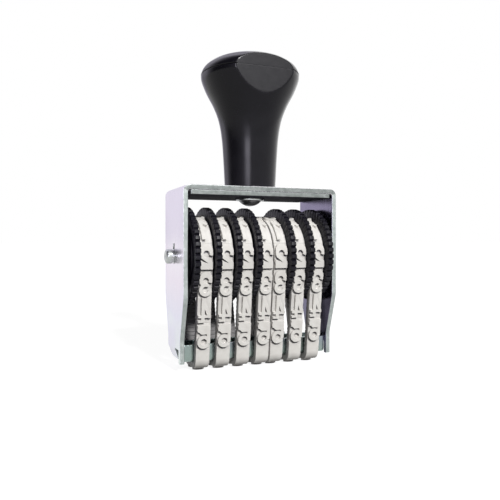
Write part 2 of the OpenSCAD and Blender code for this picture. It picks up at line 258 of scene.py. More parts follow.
def buildScratches():
    # Thin straight marks in one direction, thinned out by noise
    tree, given, out = newGroup("scratches", [
        ("Vector", "Vector", None), ("Stretch", "Vector", (200.0, 200.0, 8000.0)), ("Amount", "Float", 0.5)],
        [("Mask", "Float")])
    stretched = addNode(tree, "ShaderNodeVectorMath", {0: given["Vector"], 1: given["Stretch"]},
                        operation="MULTIPLY").outputs[0]
    sharp = mapRange(tree, noise(tree, stretched, 1.0, 3.0), 0.55, 0.75, 0.0, 1.0)
    setSocket(tree, out["Mask"], maths(tree, "MULTIPLY", sharp, given["Amount"]))
    return tree


def buildRubbedEdges():
    # Edges that hands or tools have rubbed, from the sharpness of the surface
    tree, given, out = newGroup("rubbedEdges", [
        ("Vector", "Vector", None), ("Amount", "Float", 0.5)], [("Mask", "Float")])
    sharpness = addNode(tree, "ShaderNodeNewGeometry", {}).outputs["Pointiness"]
    edge = mapRange(tree, sharpness, 0.51, 0.62, 0.0, 1.0)
    broken = mapRange(tree, noise(tree, given["Vector"], 900.0, 4.0), 0.35, 0.7, 0.2, 1.0)
    strong = maths(tree, "MULTIPLY", edge, given["Amount"])
    setSocket(tree, out["Mask"], maths(tree, "MULTIPLY", strong, broken, clamp=True))
    return tree


mottle = buildMottle()
grain = buildGrain()
scratches = buildScratches()
rubbedEdges = buildRubbedEdges()


# Finishes. Each look gives the colours, the size of patches, marks and grain (larger is finer),
# the roughness from smooth to rough, and the strength and depth of the bump.

def newMaterial(name, look):
    material = bpy.data.materials.new(name)
    material.use_nodes = True
    tree = material.node_tree
    shader = tree.nodes["Principled BSDF"]
    shader.inputs["Metallic"].default_value = look.get("metallic", 0.0)
    shader.inputs["Specular IOR Level"].default_value = look.get("specular", 0.5)
    return material, tree, shader, addNode(tree, "ShaderNodeTexCoord", {}).outputs["Object"]


def toneOf(tree, place, look):
    return useGroup(tree, mottle, Vector=place, Scale=look["patches"], Low=look["low"], High=look["high"])


def marksOf(tree, place, look):
    return useGroup(tree, scratches, Vector=place, Stretch=look["marks"], Amount=look["marked"])["Mask"]


def grainOf(tree, place, look):
    return useGroup(tree, grain, Vector=place, Scale=look["grain"], Dents=look["dents"])["Height"]


def connectFinish(tree, shader, look, color, wear, height):
    bump = addNode(tree, "ShaderNodeBump", {"Height": height, "Strength": look["bump"],
                                            "Distance": look["depth"] * mm})
    setSocket(tree, shader.inputs["Base Color"], color)
    setSocket(tree, shader.inputs["Roughness"], mapRange(tree, wear, 0.0, 1.0, look["smooth"], look["rough"]))
    setSocket(tree, shader.inputs["Normal"], bump.outputs["Normal"])


handleLook = {"low": (0.003, 0.0027, 0.005, 1), "high": (0.006, 0.0055, 0.0085, 1), "patches": 140.0,
              "marks": (2600.0, 2600.0, 160.0), "marked": 0.5, "grain": 900.0, "dents": 2.5,
              "specular": 0.16, "smooth": 0.14, "rough": 0.26, "bump": 0.08, "depth": 0.02}


def handlePlastic(name, look):
    material, tree, shader, place = newMaterial(name, look)
    tone = toneOf(tree, place, look)
    patchy = maths(tree, "MULTIPLY", tone["Mask"], 0.5)
    wear = maths(tree, "ADD", patchy, marksOf(tree, place, look))
    connectFinish(tree, shader, look, tone["Color"], wear, grainOf(tree, place, look))
    return material


flatLook = {"low": (0.007, 0.0067, 0.009, 1), "high": (0.013, 0.0125, 0.015, 1), "patches": 700.0,
            "marks": (700.0, 900.0, 5200.0), "marked": 0.8, "grain": 3200.0, "dents": 1.2,
            "specular": 0.18, "smooth": 0.46, "rough": 0.6, "bump": 0.25, "depth": 0.02}


def handleFlatPlastic(name, look):
    material, tree, shader, place = newMaterial(name, look)
    marks = marksOf(tree, place, look)
    height = maths(tree, "ADD", grainOf(tree, place, look), marks)
    connectFinish(tree, shader, look, toneOf(tree, place, look)["Color"], marks, height)
    return material


wheelLook = {"low": (0.003, 0.0026, 0.0055, 1), "high": (0.006, 0.0052, 0.0095, 1), "patches": 420.0,
             "worn": (0.014, 0.013, 0.018, 1), "rubbed": 0.4, "grain": 3600.0, "dents": 0.8,
             "specular": 0.18, "smooth": 0.36, "rough": 0.5, "bump": 0.2, "depth": 0.015}
# A lighter copy for the side faces of the wheels: painted sheen of the light from the right
wheelSideLook = dict(wheelLook, low=(0.014, 0.013, 0.019, 1), high=(0.024, 0.022, 0.031, 1),
                     worn=(0.034, 0.032, 0.042, 1))


def wheelPlastic(name, look):
    material, tree, shader, place = newMaterial(name, look)
    tone = toneOf(tree, place, look)
    rubbed = useGroup(tree, rubbedEdges, Vector=place, Amount=look["rubbed"])["Mask"]
    color = blendColors(tree, rubbed, tone["Color"], look["worn"])
    connectFinish(tree, shader, look, color, tone["Mask"], grainOf(tree, place, look))
    return material


# The dark colour here is painted shadow under the strokes, and painted shade round them, on the left side and
# on the inner side of the band
rubberLook = {"low": (0.70, 0.675, 0.64, 1), "high": (0.78, 0.76, 0.725, 1), "patches": 520.0,
              "paintedShade": (0.09, 0.088, 0.11, 1), "sideShade": 0.4, "sideFrom": -0.00136, "sideTo": -0.00142,
              "grain": 5200.0, "dents": 0.9, "specular": 0.12, "smooth": 0.48, "rough": 0.64,
              "bump": 0.3, "depth": 0.012}


def bandRubber(name, look):
    # Painted shadow just under the strokes, and painted shade on the left side between sideFrom and sideTo
    material, tree, shader, place = newMaterial(name, look)
    tone = toneOf(tree, place, look)
    leftShade = mapRange(tree, axisOf(tree, place, 0), look["sideFrom"], look["sideTo"], 0.0, look["sideShade"])
    paintedShade = addNode(tree, "ShaderNodeAttribute", {}, attribute_name="paintedShadow").outputs["Fac"]
    color = blendColors(tree, maths(tree, "MAXIMUM", paintedShade, leftShade), tone["Color"], look["paintedShade"])
    connectFinish(tree, shader, look, color, tone["Mask"], grainOf(tree, place, look))
    return material


# tints runs from the feet up to tintTop, in metres
zincLook = {"shade": (1, 1, 1, 1), "worn": (0.86, 0.86, 0.88, 1), "clouds": 55.0, "cloudShift": 0.14,
            "tints": [(0.04, (0.66, 0.72, 0.70)), (0.22, (0.63, 0.62, 0.735)), (0.50, (0.70, 0.635, 0.73)),
                      (0.75, (0.78, 0.74, 0.80)), (0.95, (0.88, 0.84, 0.88))], "tintTop": 0.036,
            "marks": (3000.0, 3000.0, 120.0), "marked": 0.4, "grain": 1500.0, "dents": 1.5,
            "metallic": 1.0, "specular": 0.05, "smooth": 0.24, "rough": 0.42, "bump": 0.12, "depth": 0.01}
# A near black, matt copy for the backing plate: painted shade under the web
zincPaintedShadeLook = dict(zincLook, shade=(0.03, 0.03, 0.04, 1), metallic=0.0, smooth=0.8, rough=0.95)


def zincSheet(name, look):
    # The faint rainbow of a passivated plating, clouded by noise; it also runs darker towards the feet, which
    # is painted shade
    material, tree, shader, place = newMaterial(name, look)
    clouds = mapRange(tree, noise(tree, place, look["clouds"], 2.0, Distortion=0.6), 0.3, 0.7,
                      -look["cloudShift"], look["cloudShift"])
    climb = mapRange(tree, axisOf(tree, place, 2), 0.0, look["tintTop"], 0.0, 1.0)
    rainbow = colorRamp(tree, maths(tree, "ADD", climb, clouds), look["tints"])
    tint = blendColors(tree, 1.0, rainbow, look["shade"], "MULTIPLY")
    worn = blendColors(tree, 1.0, tint, look["worn"], "MULTIPLY")
    marks = marksOf(tree, place, look)
    height = maths(tree, "ADD", grainOf(tree, place, look), marks)
    connectFinish(tree, shader, look, blendColors(tree, marks, tint, worn), marks, height)
    return material


edgeLook = {"low": (0.27, 0.30, 0.29, 1), "high": (0.37, 0.40, 0.39, 1), "patches": 900.0,
            "marks": (2200.0, 2200.0, 2200.0), "marked": 1.0, "metallic": 1.0,
            "smooth": 0.34, "rough": 0.6, "bump": 0.25, "depth": 0.015}
edgeDarkLook = dict(edgeLook, low=(0.14, 0.155, 0.15, 1), high=(0.22, 0.235, 0.23, 1))
steelLook = {"low": (0.36, 0.38, 0.37, 1), "high": (0.48, 0.50, 0.49, 1), "patches": 800.0,
             "marks": (9000.0, 500.0, 500.0), "marked": 1.0, "metallic": 1.0,
             "smooth": 0.28, "rough": 0.42, "bump": 0.05, "depth": 0.01}
# A darker copy of the steel for the screw head: painted shade under the web
steelShadedLook = dict(steelLook, low=(0.16, 0.16, 0.18, 1), high=(0.27, 0.27, 0.29, 1), smooth=0.4, rough=0.55)


def cutMetal(name, look):
    # Bare metal with the marks of the tool that cut it
    material, tree, shader, place = newMaterial(name, look)
    marks = marksOf(tree, place, look)
    connectFinish(tree, shader, look, toneOf(tree, place, look)["Color"], marks, marks)
    return material


glossBlack = handlePlastic("glossyBlackPlastic", handleLook)
flatBlack = handleFlatPlastic("mattBlackPlastic", flatLook)
wheelBlack = wheelPlastic("dullBlackPlastic", wheelLook)
wheelSide = wheelPlastic("blackPlasticPaintedSheen", wheelSideLook)
rubber = bandRubber("greyRubber", rubberLook)
zinc = zincSheet("zincPlatedSheet", zincLook)
# A darker copy of the zinc for the inner sides of the plates: painted shade
zincInsideShaded = zincSheet("zincInsideShaded", dict(zincLook, shade=(0.22, 0.21, 0.28, 1)))
# A darker copy with a green tint for the bridge: the green is the plating's own colour, the darkness is
# painted shade between the bands
zincBridgeShaded = zincSheet("zincBridgeShaded", dict(zincLook, shade=(0.38, 0.43, 0.41, 1)))
zincPaintedShade = zincSheet("zincPaintedShade", zincPaintedShadeLook)
sheared = cutMetal("shearedEdge", edgeLook)
shearedDark = cutMetal("shearedEdgeDark", edgeDarkLook)
steel = cutMetal("turnedSteel", steelLook)
shadedSteel = cutMetal("shadedSteel", steelShadedLook)
print("finishes ready")


# Handle: a turned bell with a flat cut at its front, and the cap above the seam

handleSizes = {"seam": 24.1, "cap": 4.5, "neck": 5.4, "knob": 10.5, "flat": 8.45,
               "edgeSoft": 0.22, "seamInset": 0.14, "seamReach": 0.18, "seamFace": 1.2, "seamSunk": 0.015,
               "footRound": 0.3, "flatColumns": 18, "edgeColumns": 9, "backColumns": 46, "steps": 14}


def handleColumns(radius):
    # Angles from the middle of the flat to the back, dense where flat and round meet
    s = handleSizes
    corner = math.acos(min(1.0, s["flat"] / radius)) if radius > s["flat"] else 0.0
    corner = max(corner, 0.07)
    reach = min(max(s["edgeSoft"] / (radius * math.tan(corner)), 0.02), corner * 0.8)
    onFlat = np.linspace(0, corner - reach, s["flatColumns"], endpoint=False)
    onEdge = np.linspace(corner - reach, corner + reach, s["edgeColumns"], endpoint=False)
    onBack = np.linspace(corner + reach, math.pi, s["backColumns"])
    half = np.concatenate([onFlat, onEdge, onBack])
    return np.concatenate([half, -half[-2:0:-1]])


def handleRow(radius, height, sunk=0.0):
    # sunk lowers the flat at the seam
    s = handleSizes
    turn = handleColumns(radius)
    cosine = np.cos(turn)
    plane = np.where(cosine > 0.05, (s["flat"] - sunk) / np.maximum(cosine, 0.05), 1000.0)
    gap = np.maximum(s["edgeSoft"] - np.abs(plane - radius), 0) / s["edgeSoft"]
    around = np.minimum(plane, radius) - gap**2 * s["edgeSoft"] / 4
    return np.stack([around * np.sin(turn), -around * np.cos(turn), np.full(len(turn), height)], 1)


def buildHandle():
    s = handleSizes
    base = boxMm("handle")[0][2]
    neck, knob, seam, cap = s["neck"], s["knob"], s["seam"], s["cap"]
    inset, reach, foot, sunk = s["seamInset"], s["seamReach"], s["footRound"], s["seamSunk"]
    bell = [(neck, 0), (neck + 0.1, 0.08 * seam), (neck + 0.3, 0.24 * seam), (neck + 0.65, 0.44 * seam),
            (neck + 1.3, 0.6 * seam), (0.6 * neck + 0.44 * knob, 0.73 * seam),
            (0.2 * neck + 0.79 * knob, 0.85 * seam), (0.985 * knob, 0.95 * seam), (knob, seam)]
    dome = [(knob, 0), (0.975 * knob, 0.2 * cap), (0.9 * knob, 0.42 * cap), (0.73 * knob, 0.67 * cap),
            (0.49 * knob, 0.86 * cap), (0.24 * knob, 0.965 * cap), (0, cap)]
    body = [(neck - foot * (1 - math.sin(a)), foot * (1 - math.cos(a)))
            for a in np.linspace(0, math.pi / 2, 5)]
    body += [p for p in smoothLine(bell, s["steps"]) if foot < p[1] < seam - reach]
    body += [(knob - inset * t**2, seam - reach * (1 - t), sunk * t**2) for t in (0.0, 0.35, 0.7, 1.0)]
    body += [(knob - s["seamFace"], seam, sunk)]
    lid = [(knob - s["seamFace"], seam, sunk)]
    lid += [(knob - inset * (1 - t)**2, seam + reach * t, sunk * (1 - t)**2) for t in (0.0, 0.3, 0.65, 1.0)]
    lid += [(r, seam + h) for r, h in smoothLine(dome, s["steps"]) if h > reach and r > 0.05]
    lid += [(0.04, seam + cap)]

    def paint(face):
        # The flat has the matt finish
        return int(face.normal.y < -0.985 and abs(face.center.y / mm + s["flat"]) < 0.12)

    for node, profile in (("handle", body), ("handle_cap", lid)):
        rows = np.array([handleRow(p[0], base + p[1], *p[2:]) for p in profile])
        mesh = meshFromGrid(f"{node}_dressed", rows, closed=True)
        finishMesh(mesh, (glossBlack, flatBlack), 60, paint)
        addPiece(node, mesh, "frame")


buildHandle()
print("handle turned")


# Sheet metal: each piece is cut as a flat blank and then bent

def cutBlank(outline, holes, thickness, edge):
    # A flat blank in the XY plane with rounded edges, made from a filled curve
    curve = bpy.data.curves.new("blank", "CURVE")
    curve.dimensions = "2D"
    curve.fill_mode = "BOTH"
    curve.extrude = (thickness / 2 - edge) * mm
    curve.bevel_depth = edge * mm
    curve.bevel_resolution = 2
    curve.offset = -edge * mm
    for loop in [outline] + holes:
        spline = curve.splines.new("POLY")
        spline.points.add(len(loop) - 1)
        for point, at in zip(spline.points, loop):
            point.co = (at[0] * mm, at[1] * mm, 0, 1)
        spline.use_cyclic_u = True
    holder = addObject("blank", curve)
    ready = holder.evaluated_get(bpy.context.evaluated_depsgraph_get())
    mesh = bpy.data.meshes.new_from_object(ready)
    bpy.data.objects.remove(holder)
    bpy.data.curves.remove(curve)
    return mesh


def bendBlank(mesh, cutsX, cutsY, place):
    # The cuts give the blank new edges along which place can bend it
    work = bmesh.new()
    work.from_mesh(mesh)
    bmesh.ops.remove_doubles(work, verts=work.verts, dist=1e-7)
    for normal, cuts in ((Vector((1, 0, 0)), cutsX), (Vector((0, 1, 0)), cutsY)):
        for at in cuts:
            bmesh.ops.bisect_plane(work, geom=work.verts[:] + work.edges[:] + work.faces[:],
                                   plane_co=normal * at * mm, plane_no=normal, dist=1e-7)
    for vert in work.verts:
        vert.co = Vector(place(*(vert.co / mm))) * mm
    bmesh.ops.recalc_face_normals(work, faces=work.faces)
    work.to_mesh(mesh)
    work.free()


def sheetPath(start, heading, moves, bendSteps):
    # Middle line of a bent sheet as a function of the distance along it, the cuts its bends need and its
    # length. A move is (length,), or (radius of the middle line, turn to the left in degrees).
    parts = []
    cuts = []
    at, angle, run = Vector(start), math.radians(heading), 0.0
    for move in moves:
        length = move[0] if len(move) == 1 else move[0] * abs(math.radians(move[1]))
        parts.append((run, length, at.copy(), angle, move))
        if len(move) == 1:
            at = at + Vector((math.cos(angle), math.sin(angle))) * length
        else:
            reach = move[0] * math.copysign(1, move[1])
            centre = at + Vector((-math.sin(angle), math.cos(angle))) * reach
            angle += math.radians(move[1])
            at = centre - Vector((-math.sin(angle), math.cos(angle))) * reach
            cuts += [run + length * k / bendSteps for k in range(bendSteps + 1)]
        run += length

    def pointAt(distance, offset):
        # offset is to the left of the way along the path
        for begin, length, origin, direction, move in parts:
            if distance <= begin + length or begin == parts[-1][0]:
                break
        left = Vector((-math.sin(direction), math.cos(direction)))
        step = distance - begin
        if len(move) == 1:
            return origin + Vector((math.cos(direction), math.sin(direction))) * step + left * offset
        side = math.copysign(1, move[1])
        centre = origin + left * move[0] * side
        turned = direction + side * step / move[0]
        left = Vector((-math.sin(turned), math.cos(turned)))
        return centre - left * (move[0] * side - offset)

    return pointAt, cuts, run


yokeSizes = {"sheet": 1.0, "bend": 1.45, "lift": 1.6, "footDepth": 9.8, "ankle": 4.6, "taper": 13.0,
             "finger": 1.0, "slot": 3.3, "tab": 2.7, "tabAngle": 18.0, "tabBend": 0.7, "tabSteps": 5,
             "toeRound": 0.3, "fingerRound": 0.25, "rootRound": 0.2, "tabFront": 0.6, "tabBack": 1.4,
             "waistRound": 3, "edge": 0.13, "hole": 1.5, "keyWidth": 1.3, "keyRise": 1.1, "bendSteps": 12}


def footSlot():
    # Front and back of the slot in each foot
    s = yokeSizes
    return s["finger"] - s["footDepth"] / 2, s["finger"] + s["slot"] - s["footDepth"] / 2


def yokeOutline(length, depth):
    # One loop round the whole blank: X along the bent path, Y from front to back
    s = yokeSizes
    half, foot = depth / 2, s["footDepth"] / 2
    slotFront, slotBack = footSlot()
    side = [(0, -foot, s["toeRound"]), (0, slotFront, s["fingerRound"]),
            (s["tab"], slotFront, s["rootRound"]), (s["tab"], slotBack, s["rootRound"]),
            (0, slotBack, s["tabFront"]), (0, foot, s["tabBack"]),
            (s["ankle"], foot, s["waistRound"]), (s["taper"], half, s["waistRound"])]
    front = [(s["taper"], -half, s["waistRound"]), (s["ankle"], -foot, s["waistRound"])]
    far = [(length - x, y, r) for x, y, r in reversed(side)]
    farFront = [(length - x, y, r) for x, y, r in reversed(front)]
    return roundedLine(side + far + farFront + front, steps=5)


def keyhole(at, way):
    s = yokeSizes
    half, rise = s["keyWidth"] / 2, s["hole"] + s["keyRise"]
    spread = math.asin(half / s["hole"])
    loop = [(at + way * rise, -half), (at + way * rise, half)]
    for turn in np.linspace(spread, 2 * math.pi - spread, 40):
        loop.append((at + way * s["hole"] * math.cos(turn), s["hole"] * math.sin(turn)))
    return loop


def buildYoke():
    s = yokeSizes
    low, high = boxMm("frame_yoke")
    width, depth, top = high[0] - low[0], high[1] - low[1], high[2]
    bend, upright = (s["bend"] - s["sheet"] / 2, -90), (top - s["lift"] - s["bend"],)
    pointAt, cutsX, length = sheetPath((-width / 2 + s["sheet"] / 2, s["lift"]), 90, [
        upright, bend, (width - 2 * s["bend"],), bend, upright], s["bendSteps"])
    holeAt = axleHeight - s["lift"]
    mesh = cutBlank(yokeOutline(length, depth), [keyhole(holeAt, 1), keyhole(length - holeAt, -1)],
                    s["sheet"], s["edge"])
    slotBack = footSlot()[1] - 0.01

    def place(x, y, offset):
        p = pointAt(x, offset)
        fromEnd = min(x, length - x)
        if y > slotBack and fromEnd < s["tab"]:
            # The tab curls inwards below its root
            way = 1 if x < length / 2 else -1
            turn = math.radians(s["tabAngle"]) * min(1, (s["tab"] - fromEnd) / s["tabBend"])
            outer = Vector((-way * width / 2, s["lift"] + s["tab"]))
            arm = p - outer
            cosine, sine = math.cos(turn), math.sin(turn)
            p = outer + Vector((arm.x * cosine - way * arm.y * sine, way * arm.x * sine + arm.y * cosine))
        return (p.x, y, p.y)

    for k in range(s["tabSteps"] + 1):
        down = s["tab"] - s["tabBend"] * k / s["tabSteps"]
        cutsX += [down, length - down]
    bendBlank(mesh, cutsX, [slotBack], place)

    def paint(face):
        # Cut edges, darker along the web, and the inner sides of the plates, which get painted shade
        if face.center.x * face.normal.x < 0 and abs(face.normal.x) > 0.7:
            return 2
        if abs(face.normal.y) > 0.8:
            return 3 if face.center.z / mm > top - s["sheet"] - 0.1 else 1
        return 0

    finishMesh(mesh, (zinc, sheared, zincInsideShaded, shearedDark), 50, paint)
    addPiece("frame_yoke", mesh, "frame", weighted=True)


backingSizes = {"corner": 0.35, "hole": 1.6, "edge": 0.12}


def buildBacking():
    s = backingSizes
    low, high = boxMm("backing_plate")
    half, depth = (high[0] - low[0]) / 2, (high[1] - low[1]) / 2
    thick, middle = high[2] - low[2], (high[2] + low[2]) / 2
    corners = [(-half, -depth), (half, -depth), (half, depth), (-half, depth)]
    outline = roundedLine([(x, y, s["corner"]) for x, y in corners])
    hole = [(s["hole"] * math.cos(t), s["hole"] * math.sin(t))
            for t in np.linspace(0, 2 * math.pi, 40, endpoint=False)]
    mesh = cutBlank(outline, [hole], thick, s["edge"])
    bendBlank(mesh, [], [], lambda x, y, offset: (x, y, middle + offset))
    # The backing plate is painted near black as painted shade under the web, with the darker cut edge round
    # it
    finishMesh(mesh, (zincPaintedShade, shearedDark), 35, lambda face: int(abs(face.normal.z) < 0.5))
    addPiece("backing_plate", mesh, "frame", weighted=True)


bridgeSizes = {"sheet": 0.8, "corner": 0.85, "edge": 0.08, "cutBack": 1.13, "tabRoom": 0.3, "round": 0.1,
               "stepRound": 0.2, "bendSteps": 8}


def buildBridge():
    s = bridgeSizes
    low, high = boxMm("bridge")
    half, depth = (high[0] - low[0]) / 2, high[1] - low[1]
    bend, wall = (s["corner"] - s["sheet"] / 2, 90), (high[2] - low[2] - s["corner"],)
    pointAt, cutsX, length = sheetPath((low[1] + s["sheet"] / 2, high[2]), -90, [
        wall, bend, (depth - 2 * s["corner"],), bend, wall], s["bendSteps"])
    # Behind the step the bridge is narrower, to leave room for the tabs of the feet
    bottom = cutsX[s["bendSteps"]]
    stepAt = bottom + footSlot()[1] - s["tabRoom"] - low[1] - s["corner"]
    inner = half - s["cutBack"]
    side = [(0, half, s["round"]), (stepAt, half, s["round"]), (stepAt, inner, s["stepRound"]),
            (length, inner, s["round"])]
    outline = roundedLine([(x, -y, r) for x, y, r in side] + side[::-1])
    mesh = cutBlank(outline, [], s["sheet"], s["edge"])

    def place(x, y, offset):
        p = pointAt(x, offset)
        return (y, p.x, p.y)

    bendBlank(mesh, cutsX, [], place)
    finishMesh(mesh, (zincBridgeShaded, sheared), 50, lambda face: int(abs(face.normal.x) > 0.8))
    addPiece("bridge", mesh, "frame", weighted=True)


buildYoke()
buildBacking()
buildBridge()
print("sheet metal bent")


# Turned parts: axle, spacers, washer and the handle's screw

axleSizes = {"chamfer": 0.32, "dimple": 0.35, "rings": 9, "ringStart": 0.55, "ringDepth": 0.012,
             "groove": (1.28, 1.34, 1.62, 1.68), "grooveDepth": 0.3}


def buildAxle():
    s = axleSizes
    low, high = boxMm("axle")
    length, radius, chamfer = high[0] - low[0], (high[2] - low[2]) / 2, s["chamfer"]
    profile = [(0.02, 0.22), (s["dimple"], 0.06), (s["dimple"] + 0.1, 0)]
    profile += [(r, s["ringDepth"] * (k % 2))
                for k, r in enumerate(np.linspace(s["ringStart"], radius - chamfer - 0.05, s["rings"]))]
    profile += [(radius - chamfer, 0), (radius - 0.04, chamfer - 0.04), (radius, chamfer + 0.05)]
    sunk = radius - s["grooveDepth"]
    profile += list(zip((radius, sunk, sunk, radius), s["groove"]))
    profile += [(r, length - h) for r, h in reversed(profile)]
    rows = alongX(latheRows(profile, 72), -length / 2, axleHeight)
    mesh = meshFromGrid("axle_dressed", rows, closed=True)
    finishMesh(mesh, (steel,), 40)
    addPiece("axle", mesh, "frame", weighted=True)


spacerSizes = {"thick": 0.75, "bore": 1.55, "soft": 0.08}


def ringProfile(inner, outer, low, high, soft):
    loop = roundedLine([(inner, low, soft), (outer, low, soft), (outer, high, soft), (inner, high, soft)], 3)
    return loop + [loop[0]]


def buildSpacers():
    s = spacerSizes
    low, high = boxMm("axle_spacers")
    work = bmesh.new()
    ring = ringProfile(s["bore"], (high[2] - low[2]) / 2, 0, s["thick"], s["soft"])
    for start in (low[0], high[0] - s["thick"]):
        work.from_mesh(meshFromGrid("spacer", alongX(latheRows(ring, 64), start, axleHeight)))
    mesh = bpy.data.meshes.new("axle_spacers_dressed")
    work.to_mesh(mesh)
    work.free()
    finishMesh(mesh, (steel,), 35)
    addPiece("axle_spacers", mesh, "frame", weighted=True)


screwSizes = {"washerBore": 1.6, "washerSoft": 0.1, "thread": 1.5, "core": 1.22, "pitch": 0.5,
              "slotLong": 8, "slotWide": 0.7, "slotDepth": 0.5, "headSteps": 14}


def cutSlot(mesh, bottom):
    # The slot is taken out of the underside of the head
    s = screwSizes
    box = bmesh.new()
    bmesh.ops.create_cube(box, size=1.0)
    for vert in box.verts:
        up = bottom - s["slotDepth"] + (vert.co.z + 0.5) * 2 * s["slotDepth"]
        vert.co = Vector((vert.co.x * s["slotLong"], vert.co.y * s["slotWide"], up)) * mm
    cutterMesh = bpy.data.meshes.new("slotCutter")
    box.to_mesh(cutterMesh)
    box.free()
    cutter = addObject("slotCutter", cutterMesh)
    blank = addObject("screwBlank", mesh)
    cut = blank.modifiers.new("Slot", "BOOLEAN")
    cut.operation, cut.object, cut.solver = "DIFFERENCE", cutter, "EXACT"
    slotted = bpy.data.meshes.new_from_object(blank.evaluated_get(bpy.context.evaluated_depsgraph_get()))
    bpy.data.objects.remove(blank)
    bpy.data.objects.remove(cutter)
    return slotted


def buildScrew():
    s = screwSizes
    washerLow, washerHigh = boxMm("screw_washer")
    washerRadius = (washerHigh[0] - washerLow[0]) / 2
    ring = ringProfile(s["washerBore"], washerRadius, washerLow[2], washerHigh[2], s["washerSoft"])
    mesh = meshFromGrid("screw_washer_dressed", latheRows(ring, 64))
    finishMesh(mesh, (steel,), 35)
    addPiece("screw_washer", mesh, "frame", weighted=True)

    low, high = boxMm("handle_screw")
    headTop = washerLow[2]
    headRadius, headHeight = (high[0] - low[0]) / 2, headTop - low[2]
    domeRadius = (headRadius**2 + headHeight**2) / (2 * headHeight)
    spread = math.asin(headRadius / domeRadius)
    outer, core = s["thread"], s["core"]
    profile = [(0.02, low[2])]
    profile += [(domeRadius * math.sin(a), low[2] + domeRadius * (1 - math.cos(a)))
                for a in np.linspace(0.04, spread * 0.97, s["headSteps"])]
    profile += [(headRadius, headTop - 0.02), (headRadius - 0.1, headTop), (outer, headTop)]
    at = headTop + 0.1
    while at + s["pitch"] < high[2] - 0.6:
        profile += [(outer, at), (outer, at + 0.1), (core, at + 0.22), (core, at + 0.3), (outer, at + 0.42)]
        at += s["pitch"]
    profile += [(outer, at), (outer - 0.4, high[2]), (0.02, high[2])]
    blank = meshFromGrid("handle_screw_dressed", latheRows(profile, 64), closed=True)
    mesh = cutSlot(blank, low[2])
    finishMesh(mesh, (shadedSteel,), 30)
    addPiece("handle_screw", mesh, "frame", weighted=True)


buildAxle()
buildSpacers()
buildScrew()
print("turned parts ready")


# Thumbwheels

wheelSizes = {"flange": 1.1, "teeth": 48, "toothDepth": 0.5, "drum": 6.4, "grooves": 22, "grooveDepth": 0.24,
              "grooveHalf": 0.25, "bore": 1.55, "hub": 2.6, "ringIn": 6.7, "ringOut": 8.5, "ringDepth": 0.22,
              "ringSoft": 0.07, "rimSoft": 0.16, "samples": 12, "flangeLeft": 4}


def wheelMesh(radius, width):
    # Axis along +X, flange at X = 0, with a sunk ring in its outer side
    s = wheelSizes
    flange, drum, soft, rimSoft = s["flange"], s["drum"], s["ringSoft"], s["rimSoft"]
    profile = [
        (s["bore"], 0, 0.1), (s["hub"], 0), (s["ringIn"], 0, soft), (s["ringIn"] + 0.1, s["ringDepth"], soft),
        (s["ringOut"] - 0.1, s["ringDepth"], soft), (s["ringOut"], 0, soft), (radius, 0, rimSoft),
        (radius, flange, rimSoft), (drum + 0.25, flange, 0.1), (drum, flange + 0.12, 0.04),
        (drum, width, 0.12), (s["bore"], width, 0.1)]
    line = roundedLine(profile, 3)
    root = radius - s["toothDepth"]
    grooveStep = 2 * math.pi / s["grooves"]

    def shaped(r, height, turns):
        if r > root:
            crest = np.abs(np.cos(turns * s["teeth"] / 2))
            share = np.clip((crest - 0.12) / 0.6, 0, 1)
            share = share * share * (3 - 2 * share)
            tooth = (0.25 + share * s["toothDepth"]) / (0.25 + s["toothDepth"])
            return root - 0.25 + (r - root + 0.25) * tooth
        if height > flange + 0.1 and r > drum - 0.2:
            away = np.abs((turns + grooveStep / 2) % grooveStep - grooveStep / 2) * r
            return r - s["grooveDepth"] * np.sqrt(np.clip(1 - (away / s["grooveHalf"])**2, 0, 1))
        return np.full(len(turns), r)

    rows = latheRows(line + [line[0]], s["teeth"] * s["samples"], shaped)
    return meshFromGrid("thumbwheel_dressed", alongX(rows))


def buildWheels():
    low, high = boxMm("thumbwheel_1")
    mesh = wheelMesh((high[2] - low[2]) / 2, high[0] - low[0])
    finishMesh(mesh, (wheelBlack, wheelSide), 50, lambda face: int(abs(face.normal.x) > 0.9))
    for i in range(1, 8):
        # The first ones have their flange on the left, the others on the right
        low, high = boxMm(f"thumbwheel_{i}")
        start, turned = (low[0], 0.0) if i <= wheelSizes["flangeLeft"] else (high[0], math.pi)
        addPiece(f"thumbwheel_{i}", mesh, f"wheel_{i}",
                 at=(start, 0, axleHeight), turned=turned)


buildWheels()
print("wheels ready")


# Number bands

bandSizes = {"thick": 1.35, "relief": 0.45, "flank": 0.07, "figureWide": 2.6, "figureHigh": 4.85,
             "stroke": 0.68, "bar": 0.48, "barLift": 0.95, "capFoot": 0.44, "capTop": 2.2, "clear": 0.12,
             "cell": 0.048, "edgeRound": 0.1, "pitch": 5.22, "strandStart": 4.88, "faceShift": 0.5,
             "fieldSide": 0.2, "fieldEnd": 0.03, "fieldRound": 0.1, "ditch": 0.05, "ditchFlank": 0.12,
             "ribs": 84, "ribDepth": 0.16, "ribShare": 0.28, "innerColumns": 7, "innerRound": 0.1,
             "innerSunk": 0.06, "marks": 6001, "reach": 3.24, "endReach": 0.75}

# Painted shadow and shade: how dark it is at each drop below a stroke, round a stroke, on the inner side of
# the band and by height
shadowLook = {"drops": ((0.08, 0.97), (0.16, 0.97), (0.24, 0.95), (0.32, 0.9), (0.4, 0.75), (0.48, 0.35)),
           "reach": 0.9, "fade": 0.5, "around": 0.16, "inside": 0.6,
           "heights": (24.3, 26.6, 29), "shares": (1, 0.4, 0)}


